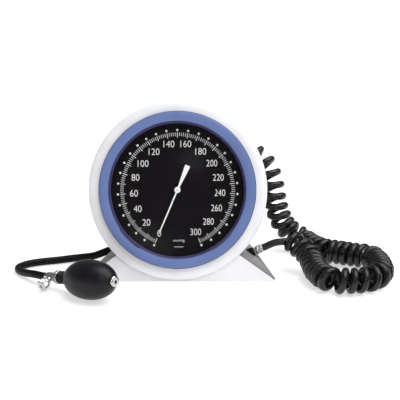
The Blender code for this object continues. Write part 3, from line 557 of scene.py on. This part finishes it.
def coil_line(start, end):
    """The coiled tube's centreline: straight lead, left-handed helix, straight tail, in one smooth line."""
    leftwards = Vector((-1, 0, 0))
    knots = [start + CUFF_PORT_AXIS * STUB, *LEAD_ROUTE, *COIL_ROUTE, end - leftwards * STUB]
    axis = smooth_route(knots, 0.0010)
    ways = [(b - a).normalized() for a, b in zip(axis, axis[1:])]
    ways.append(ways[-1])
    total = len(axis) - 1
    step = route_length(axis) / total
    first = min(range(total), key=lambda i: (axis[i] - Vector(COIL_ROUTE[0])).length)
    last = min(range(total), key=lambda i: (axis[i] - Vector(COIL_ROUTE[-1])).length)
    reach = 12                                   # steps over which a bend is measured
    side = (Vector((0, 0, 1)) - ways[first] * ways[first].z).normalized()
    line = []
    angle = 0.0
    for i in range(first, last + 1):
        way = ways[i]
        side = (side - way * side.dot(way)).normalized()
        across = way.cross(side)
        low, high = max(0, i - reach), min(total, i + reach)
        bend = ways[low].angle(ways[high], 0) / (step * (high - low))
        pitch = hanging_pitch(axis[i].z) if i > total / 2 else COIL_PITCHES[0][1]
        pitch = max(pitch, 2 * COIL_TUBE_R * 1.02 / max(0.35, 1 - (COIL_R - COIL_TUBE_R) * bend))
        opening = eased((i - first) * step / COIL_GROWTH) * eased((last - i) * step / COIL_GROWTH)
        turned = side * math.cos(angle) - across * math.sin(angle)
        line.append((angle, axis[i] + turned * (COIL_R - COIL_TUBE_R) * opening))
        angle += 2 * math.pi * step / pitch
    helix, wanted = [], 0.0
    for (a, p), (b, q) in zip(line, line[1:]):
        while wanted <= b:
            helix.append(p.lerp(q, (wanted - a) / (b - a)))
            wanted += 2 * math.pi / TURN_POINTS
    lead = [start] + axis[0:first - 1:3]
    tail = axis[last + 2::3] + [end]
    return lead + helix + tail


def make_cords():
    first = BULB_PORT + BULB_PORT_AXIS * (BULB_BUSH_REACH + GAP)
    last = BULB_CENTRE + BULB_AXIS * (VALVE_END - GAP)
    route = smooth_route([first + BULB_PORT_AXIS * STUB, *HOSE_ROUTE, last - BULB_AXIS * STUB], 0.003)
    route = [first] + route + [last]
    hose = tube_piece("bulb_hose_fine", route, HOSE_R, "black_rubber", ["bulb_hose"])

    start = CUFF_PORT + CUFF_PORT_AXIS * (FERRULE_END + GAP)
    whole = coil_line(start, CLIP_CENTRE + Vector((CONNECTOR_HALF + GAP, 0, 0)))
    coil = tube_piece("coiled_tube_fine", whole, COIL_TUBE_R, "coil_rubber",
                      ["coil_lead_tube", "coiled_tube", "coil_tail_tube"], 3)

    tube_start = CLIP_CENTRE - Vector((CONNECTOR_HALF + GAP, 0, 0))
    end = CUFF_ROLL_CENTRE + Vector((-0.0235, 0, CUFF_ROLL_R + 0.0006))
    cuff_route = [tube_start] + smooth_route([tube_start - Vector((STUB, 0, 0)), *CUFF_TUBE_ROUTE,
                                              end + Vector((0, 0, STUB))], 0.003) + [end]
    cuff_tube = tube_piece("cuff_tube_fine", cuff_route, TUBE_R, "coil_rubber", ["cuff_tube"])
    return (hose, first, route_length(route)), (coil, start, route_length(whole)), \
        (cuff_tube, tube_start, route_length(cuff_route))


# ---------------------------------------------------------------- housing, bezel, glass

def arc_points(cx, cy, rx, ry, start, end, steps):
    return [(cx + rx * math.cos(math.radians(start + (end - start) * i / steps)),
             cy + ry * math.sin(math.radians(start + (end - start) * i / steps))) for i in range(steps + 1)]


def make_housing():
    rim = arc_points(0.0900, 0.0034, 0.0095, 0.0052, 84, 0, 14)
    profile = [(0.0776, 0.0084), (0.0778, 0.0086), (0.0880, 0.0086), (0.0890, 0.0086)] + rim
    profile += [(0.0995, 0.0032), (0.0993, 0.0031), (0.0876, 0.0031), (0.0875, 0.0029)]
    profile += [(0.0868, -0.0060), (0.0860, -0.0150), (0.0853, -0.0230), (0.0845, -0.0300),
                (0.0836, -0.0360), (0.0822, -0.0400), (0.0810, -0.0430), (0.0790, -0.0448),
                (0.0760, -0.0450), (0.0655, -0.0450), (0.0655, -0.0425), (0.0770, -0.0425),
                (0.0795, -0.0390), (0.0820, -0.0290), (0.0835, -0.0150), (0.0852, 0.0030),
                (0.0754, 0.0030), (0.0754, 0.0063), (0.0776, 0.0063)]
    finish_piece("housing_body", lathe(profile, 192, ring=True), "white_plastic", "root",
                 ["housing_shell"], DIAL, sharp=30)

    # This thin dark ring between the bezel and the housing rim is painted shadow, standing for the shade in
    # the gap between the two parts.
    shadow_line = filleted([(0.0874, 0.00865), (0.0874, 0.0089), (0.0867, 0.0089), (0.0867, 0.00865)],
                    0.00002, 1, ring=True)
    finish_piece("bezel_painted_shadow_ring", lathe(shadow_line, 160, ring=True), "dark_plastic", "root",
                 (), DIAL, sharp=30)

    face = [(0.0772, 0.0136), (0.0853, 0.0136)] + arc_points(0.0853, 0.0123, 0.0013, 0.0013, 80, 0, 6)
    ring = face + [(0.0866, 0.0091), (0.0864, 0.0089), (0.0755, 0.0089), (0.0757, 0.0110), (0.0763, 0.0132)]
    finish_piece("bezel_ring_fine", lathe(ring, 192, ring=True), "blue_plastic", "root",
                 ["bezel_ring"], DIAL, sharp=30)
    # The bezel's inner chamfer is drawn in the darker blue: painted shade along the inside edge of the ring.
    edge = [(0.0761, 0.0131), (0.0755, 0.0109), (0.0753, 0.0089), (0.0745, 0.0089), (0.0735, 0.0095),
            (0.0736, 0.0099), (0.0745, 0.0112)]
    finish_piece("bezel_inner_painted_shade", lathe(edge, 192, ring=True), "blue_painted_shade", "root",
                 (), DIAL, sharp=30)

    # Two flat patches of the darker blue on the ring's face, at lower left and lower right, widen its dark
    # inner edge: painted shade.
    for number, (start, end) in enumerate(((215, 236), (301, 321)), 1):
        outer = arc_points(0, 0, 0.0772, 0.0772, start, end, 14)
        inner = arc_points(0, 0, 0.0749, 0.0749, end + 3, start - 3, 14)
        finish_piece(f"bezel_painted_shade_patch_{number}", extruded([outer + inner], 0.0125, 0.01368), "blue_painted_shade", "root",
                     (), DIAL, sharp=30)

    lens = filleted([(0, 0.0086), (0.0772, 0.0086), (0.0772, 0.0066), (0, 0.0066)], 0.0003, 2)
    finish_piece("lens_fine", lathe(lens, 96), "glass", "root", ["lens"], DIAL, sharp=30)


# ---------------------------------------------------------------- dial print and pointer

PRINT_LOW = DIAL_TOP + 0.00002       # the print stands a little off the dial
PRINT_HIGH = DIAL_TOP + 0.00010
TICK_OUTER_R = 0.0639
LONG_TICK = (0.0583, 0.00034)        # inner radius, half width
SHORT_TICK = (0.0599, 0.00026)
DOT_RING_R = 0.0666
DOT_R = 0.00125
NUMERAL_RING_R = 0.0531
NUMERAL_HEIGHT = 0.0073
NUMERAL_WIDTHS = {1: 0.0040, 2: 0.0088, 3: 0.0120}       # by the count of digits
DIAL_SCREW_X = 0.040


def dial_point(value, radius):
    angle = SCALE_START + value * SCALE_STEP
    return Vector((-radius * math.sin(angle), -radius * math.cos(angle)))


def make_scale():
    """The scale's ticks and dots, joined in one printed piece."""
    marks = []
    for value in range(0, MMHG_TOP + 1, 2):
        long = value % 10 == 0
        inner, half = LONG_TICK if long else SHORT_TICK
        way = (dial_point(value, 1)).normalized()
        across = Vector((-way.y, way.x)) * half
        a, b = way * inner, way * TICK_OUTER_R
        marks.append([tuple(p) for p in (a - across, b - across, b + across, a + across)])
        if long:
            spot = way * DOT_RING_R
            marks.append(circle(DOT_R, spot.x, spot.y, 16))
    bm = bmesh.new()
    for outline in marks:
        flat = [bm.verts.new((x, y, PRINT_LOW)) for x, y in outline]
        raised = [bm.verts.new((x, y, PRINT_HIGH)) for x, y in outline]
        bm.faces.new(raised)
        bm.faces.new(list(reversed(flat)))
        for i in range(len(flat)):
            j = (i + 1) % len(flat)
            bm.faces.new((flat[i], flat[j], raised[j], raised[i]))
    bmesh.ops.recalc_face_normals(bm, faces=bm.faces)
    mesh = bpy.data.meshes.new("scale")
    bm.to_mesh(mesh)
    bm.free()
    finish_piece("scale_marks", mesh, "ink", "root", (), DIAL)


def make_dial():
    outlines = [circle(0.0835, sides=128), circle(0.0030)]
    outlines += [circle(0.0013, x, 0, 16) for x in (-DIAL_SCREW_X, DIAL_SCREW_X)]
    face = extruded(outlines, DIAL_TOP - 0.0010, DIAL_TOP)
    finish_piece("dial_face", face, "dial_black", "root", ["dial_plate"], DIAL)
    make_scale()
    for value in range(0, MMHG_TOP + 1, 20):
        words = str(value)
        width = NUMERAL_WIDTHS[len(words)]
        way = dial_point(value, 1)
        spot = way * (NUMERAL_RING_R - abs(way.x) * width / 2)
        add_text(f"numeral_{value:03d}", words, spot, width, NUMERAL_HEIGHT)
    add_text("unit_mark", "mmHg", Vector((0.0012, -0.0564)), 0.0127, 0.0036)
    rule = [(-0.0041, -0.0634), (0.0061, -0.0634), (0.0061, -0.0629), (-0.0041, -0.0629)]
    finish_piece("dial_rule", extruded([rule], PRINT_LOW, PRINT_HIGH), "ink", "root",
                 (), DIAL)
    head = DIAL_TOP + GAP
    for side, x in (("left", -DIAL_SCREW_X), ("right", DIAL_SCREW_X)):
        shape = filleted([(0, head + 0.0010), (0.0014, head + 0.0010), (0.0021, head + 0.0005),
                          (0.0021, head), (0.0010, head), (0.0010, -0.0070), (0, -0.0070)], 0.0002, 2)
        finish_piece(f"dial_screw_{side}_fine", lathe(shape, 32), "dial_black", "root",
                     [f"dial_screw_{side}"], DIAL @ Matrix.Translation((x, 0, 0)))


def add_text(name, words, spot, width, height):
    """Raised print of a given size, centred on spot."""
    data = bpy.data.curves.new(name, "FONT")
    data.body = words
    data.size = 0.010
    data.extrude = 0.00004
    data.offset = -0.00008
    holder = bpy.data.objects.new(name, data)
    bpy.context.collection.objects.link(holder)
    mesh = bpy.data.meshes.new_from_object(holder.evaluated_get(bpy.context.evaluated_depsgraph_get()))
    bpy.data.objects.remove(holder)
    xs = [vertex.co.x for vertex in mesh.vertices]
    ys = [vertex.co.y for vertex in mesh.vertices]
    mesh.transform(Matrix.Translation((-(min(xs) + max(xs)) / 2, -(min(ys) + max(ys)) / 2, 0)))
    mesh.transform(Matrix.Diagonal((width / (max(xs) - min(xs)), height / (max(ys) - min(ys)), 1, 1)))
    mesh.transform(Matrix.Translation((spot.x, spot.y, DIAL_TOP + 0.00008)))
    finish_piece(name, mesh, "ink", "root", (), DIAL)


def make_pointer():
    hub = [(0.0034 * math.cos(a), 0.0034 * math.sin(a)) for a in
           [math.radians(-70 + 144 * i / 16) for i in range(17)]]
    blade = [(0.00085, 0.0036), (0.00065, 0.0500), (0.0002, 0.0531)]
    tail = [(0.00105, -0.0036), (0.0030, -0.0278), (0.0029, -0.0288), (0.0022, -0.0295)]
    right = list(reversed(tail)) + hub + blade
    outline = right + [(-x, y) for x, y in reversed(right)]
    turn = Matrix.Translation((0, 0, 0.0044)) @ Matrix.Rotation(math.pi - SCALE_START, 4, "Z")
    finish_piece("pointer_blade", extruded([outline], 0, 0.0005, 0.00008, 1), "pointer_paint", "pointer",
                 ["pointer"], DIAL @ turn)
    cap = filleted([(0, 0.0062), (0.0009, 0.0062), (0.0010, 0.0064), (0.0024, 0.0064), (0.0034, 0.0060),
                    (0.0034, 0.0051), (0, 0.0051)], 0.0003, 3)
    finish_piece("pointer_cap_fine", lathe(cap, 48), "pointer_paint", "pointer",
                 ["pointer_cap"], DIAL)
    pin = filleted([(0, 0.00650), (0.0008, 0.00650), (0.0008, 0.0062), (0, 0.0062)], 0.0001, 2)
    finish_piece("pointer_pin_tip", lathe(pin, 24), "steel", "pointer", (), DIAL)


# ---------------------------------------------------------------- bulb and release valve

def make_bulb():
    matrix = aimed(BULB_CENTRE, BULB_AXIS)
    steps = 40
    body = []
    for i in range(1, steps):
        angle = math.pi * i / steps
        height = BULB_HALF_LENGTH * math.cos(angle)
        if abs(height) < BULB_HALF_LENGTH - 0.0022:
            body.append((BULB_R * math.sin(angle) ** 0.94, height))
    socket = [(0, 0.0260), (0.0048, 0.0260), (0.0048, 0.0346), (0.0052, 0.0350), (0.0064, 0.0350),
              (0.0072, 0.0344)]
    ribs = []
    for k in range(5):
        z = -0.0362 - k * 0.0022
        ribs += [(0.0066, z), (0.0072, z - 0.0005), (0.0072, z - 0.0012), (0.0066, z - 0.0017)]
    neck = [(0.0076, -0.0345), (0.0070, -0.0355)] + ribs + [(0.0066, NECK_END + 0.0002), (0, NECK_END)]

    def seam(r, height, angle):
        """A mould line runs along two sides of the bulb."""
        off = abs(math.remainder(angle - math.pi / 3, math.pi))
        return r + (0.00016 if off < 0.012 and abs(height) < 0.031 else 0)

    bulb = lathe(socket + body + neck, 160, shape=seam)
    finish_piece("bulb_fine", bulb, "bulb_rubber", "root", ["bulb"], matrix, sharp=50)
    intake = filleted([(0.0015, 0.0388), (0.0046, 0.0388), (0.0058, 0.0377), (0.0058, 0.0353),
                       (0.0044, 0.0353), (0.0044, 0.0270), (0.0034, 0.0270), (0.0034, 0.0367),
                       (0.0015, 0.0367)], 0.0003, 3, ring=True)
    finish_piece("air_intake_fine", lathe(intake, 64, ring=True), "chrome", "root",
                 ["air_intake"], matrix)
    disc = filleted([(0, 0.0360), (0.0030, 0.0360), (0.0030, 0.0352), (0, 0.0352)], 0.0002, 2)
    finish_piece("intake_disc_fine", lathe(disc, 48), "black_rubber", "intake_valve",
                 ["intake_disc"], matrix)


def make_valve():
    matrix = aimed(BULB_CENTRE, BULB_AXIS)
    top = NECK_END - GAP
    collar = filleted([(0, top), (0.0068, top), (0.0075, top - 0.0007), (0.0075, top - 0.0043),
                       (0.0068, top - 0.0050), (0, top - 0.0050)], 0.0003, 3)

    def grooved(r, height, angle):
        return r - (0.0003 if math.cos(angle * 24) > 0.6 and r > 0.0071 else 0)

    finish_piece("valve_collar_fine", lathe(collar, 192, shape=grooved), "chrome", "root",
                 ["valve_collar"], matrix)
    top -= 0.0050 + GAP
    barrel = filleted([(0, top), (0.0050, top), (0.0050, VALVE_END + 0.0040), (0.0038, VALVE_END + 0.0034),
                       (0.0038, VALVE_END), (0, VALVE_END)], 0.0003, 3)
    finish_piece("release_valve_barrel", lathe(barrel, 64), "chrome", "root",
                 ["release_valve_body"], matrix)

    outwards = Vector((-1, -0.33, 0)).normalized()
    knob = matrix @ aimed(Vector((0, 0, KNOB_STATION)), outwards)
    boss = filleted([(0.0018, 0.0078), (0.0030, 0.0078), (0.0036, 0.0072), (0.0036, 0.0050),
                     (0.0018, 0.0050)], 0.0002, 2, ring=True)
    finish_piece("valve_boss_fine", lathe(boss, 48, ring=True), "chrome", "root",
                 ["valve_boss"], knob)
    end = KNOB_START + 0.0100
    profile = filleted([(0.0016, end), (0.0052, end), (0.0062, end - 0.0010), (0.0062, end - 0.0066),
                        (0.0054, end - 0.0072), (0.0054, end - 0.0084), (0.0060, KNOB_START + 0.0008),
                        (0.0050, KNOB_START), (0.0016, KNOB_START)], 0.0003, 3, ring=True)

    def knurled(r, height, angle):
        return r - (0.00040 * (0.5 - 0.5 * math.cos(angle * 28)) if r > 0.0057 else 0)

    grip = lathe(profile, 280, ring=True, shape=knurled)
    finish_piece("release_knob_fine", grip, "chrome", "knob", ["release_knob"], knob, sharp=50)
    needle = filleted([(0, 0.0185), (0.0012, 0.0185), (0.0012, 0.0028), (0, 0.0014)], 0.0002, 2)
    finish_piece("valve_needle_fine", lathe(needle, 32), "steel", "needle", ["valve_needle"], knob)


def make_fittings():
    cuff_port = aimed(CUFF_PORT, CUFF_PORT_AXIS)
    bulb_port = aimed(BULB_PORT, BULB_PORT_AXIS)
    for name, matrix, radius, reach in (("cuff_port_bush", cuff_port, 0.0052, CUFF_BUSH_REACH),
                                        ("bulb_port_bush", bulb_port, 0.0050, BULB_BUSH_REACH)):
        profile = filleted([(0.0018, reach), (radius, reach), (radius, -0.0100), (0.0018, -0.0100)],
                           0.0005, 3, ring=True)
        finish_piece(name + "_fine", lathe(profile, 48, ring=True), "black_rubber", "root",
                     [name], matrix)
    ferrule = filleted([(0, FERRULE_END), (0.0044, FERRULE_END), (0.0048, 0.0144), (0.0048, 0.0118),
                        (0.0045, 0.0115), (0.0045, 0.0110), (0.0048, 0.0107), (0.0048, 0.0080),
                        (0.0040, 0.0074), (0.0040, 0.0055), (0, 0.0055)], 0.0002, 2)
    piece = finish_piece("tube_ferrule_fine", lathe(ferrule, 64), "steel", "root",
                         ["tube_ferrule"], cuff_port)
    half = CONNECTOR_HALF
    body = filleted([(0, half), (0.0040, half), (CONNECTOR_R, 0.0110), (CONNECTOR_R, 0.0030),
                     (0.0039, 0.0026), (0.0039, 0.0016), (CONNECTOR_R, 0.0012), (CONNECTOR_R, -0.0110),
                     (0.0040, -half), (0, -half)], 0.0003, 3)

    def gripped(r, height, angle):
        return r - (0.0003 if height < 0.001 and r > 0.0042 and math.cos(angle * 18) > 0.5 else 0)

    connector = lathe(body, 144, shape=gripped)
    piece_in_clip = finish_piece("tube_connector_fine", connector, "chrome", "root",
                                 ["tube_connector"], aimed(CLIP_CENTRE, Vector((1, 0, 0))))
    return piece, piece_in_clip


# ---------------------------------------------------------------- rolled cuff

CUFF_FLAT = (0.1300, 0.5300)
CUFF_THICK = 0.0036
CUFF_INNER_R = 0.0070
CUFF_END_ANGLE = math.radians(150)      # where the outermost turn ends
TAPE_BACK = math.radians(78)            # the hook tape starts this far before that end
TAPE_SPAN = math.radians(70)
TAPE_HALF = 0.0400
TAPE_THICK = 0.0008


def make_cuff():
    outer_mid = CUFF_ROLL_R - CUFF_THICK / 2 - 0.0003
    growth = math.pi * (outer_mid ** 2 - CUFF_INNER_R ** 2) / CUFF_FLAT[1]
    turns = (outer_mid - CUFF_INNER_R) / growth
    columns = round(turns * 40)
    rows = 18
    half = CUFF_FLAT[0] / 2
    matrix = Matrix.Translation(CUFF_ROLL_CENTRE) @ Matrix.Rotation(math.radians(90), 4, "Y")
    bm = bmesh.new()
    grid = []
    for i in range(columns + 1):
        turn = 2 * math.pi * turns * i / columns
        angle = CUFF_END_ANGLE - 2 * math.pi * turns + turn
        column = []
        for k in range(rows + 1):
            across = -1 + 2 * k / rows
            puff = 0.0005 * math.sin(9 * turn / math.pi + across * 2) * (1 - across ** 4)
            radius = CUFF_INNER_R + growth * turn / (2 * math.pi) + puff - 0.0008 * across ** 8
            height = half * across * 0.995
            column.append(bm.verts.new((radius * math.cos(angle), radius * math.sin(angle), height)))
        grid.append(column)
    for one, two in zip(grid, grid[1:]):
        for k in range(rows):
            bm.faces.new((one[k], one[k + 1], two[k + 1], two[k]))
    bmesh.ops.recalc_face_normals(bm, faces=bm.faces)
    mesh = bpy.data.meshes.new("cuff")
    bm.to_mesh(mesh)
    bm.free()
    cuff = finish_piece("rolled_cuff", mesh, "cuff_cloth", "root", ["cuff_roll"],
                        matrix, sharp=60)
    solid = cuff.modifiers.new("thickness", "SOLIDIFY")
    solid.thickness = CUFF_THICK
    solid.offset = 0
    make_hook_tape(matrix, growth)


def make_hook_tape(matrix, growth):
    """The tape that follows the outermost turn of the cuff."""
    tape = bmesh.new()
    tape_rows = []
    for i in range(25):
        angle = CUFF_END_ANGLE - TAPE_BACK + TAPE_SPAN * i / 24
        radius = CUFF_ROLL_R - 0.0004 - growth * (CUFF_END_ANGLE - angle) / (2 * math.pi)
        tape_rows.append([tape.verts.new((radius * math.cos(angle), radius * math.sin(angle), z))
                          for z in (-TAPE_HALF, TAPE_HALF)])
    for one, two in zip(tape_rows, tape_rows[1:]):
        tape.faces.new((one[0], one[1], two[1], two[0]))
    bmesh.ops.recalc_face_normals(tape, faces=tape.faces)
    tape_mesh = bpy.data.meshes.new("tape")
    tape.to_mesh(tape_mesh)
    tape.free()
    patch = finish_piece("cuff_hook_tape", tape_mesh, "hook_tape", "root", (), matrix, sharp=60)
    backing = patch.modifiers.new("thickness", "SOLIDIFY")
    backing.thickness = TAPE_THICK
    backing.offset = 0


# ---------------------------------------------------------------- stand, basket and small parts

def make_stand():
    for node, paint, width in (("stand_front_panel", "white_plastic", 0.0007),
                               ("stand_rear_shell", "grey_plastic", 0.0008),
                               ("base_plate", "dark_plastic", 0.0004),
                               ("cuff_basket", "white_plastic", 0.0007),
                               ("connector_clip", "white_plastic", 0.0005),
                               ("rear_cover", "white_plastic", 0.0006),
                               ("manifold_block", "brass", 0.0003)):
        refined(node, paint, width)


def paint_the_rest():
    """Every CAD node that still shows gets the material of its own slot."""
    for entry in frame["record"]["subparts"]:
        node = frame["nodes"][entry["node"]]
        node.data.materials.clear()
        node.data.materials.append(PAINTS[entry["material_slot"]])


# ---------------------------------------------------------------- everything

make_stage()
make_camera()
hose_facts, coil_facts, cuff_tube_facts = make_cords()
paint_the_rest()
make_housing()
make_dial()
make_pointer()
make_bulb()
make_valve()
ferrule, connector = make_fittings()
make_stand()
make_cuff()
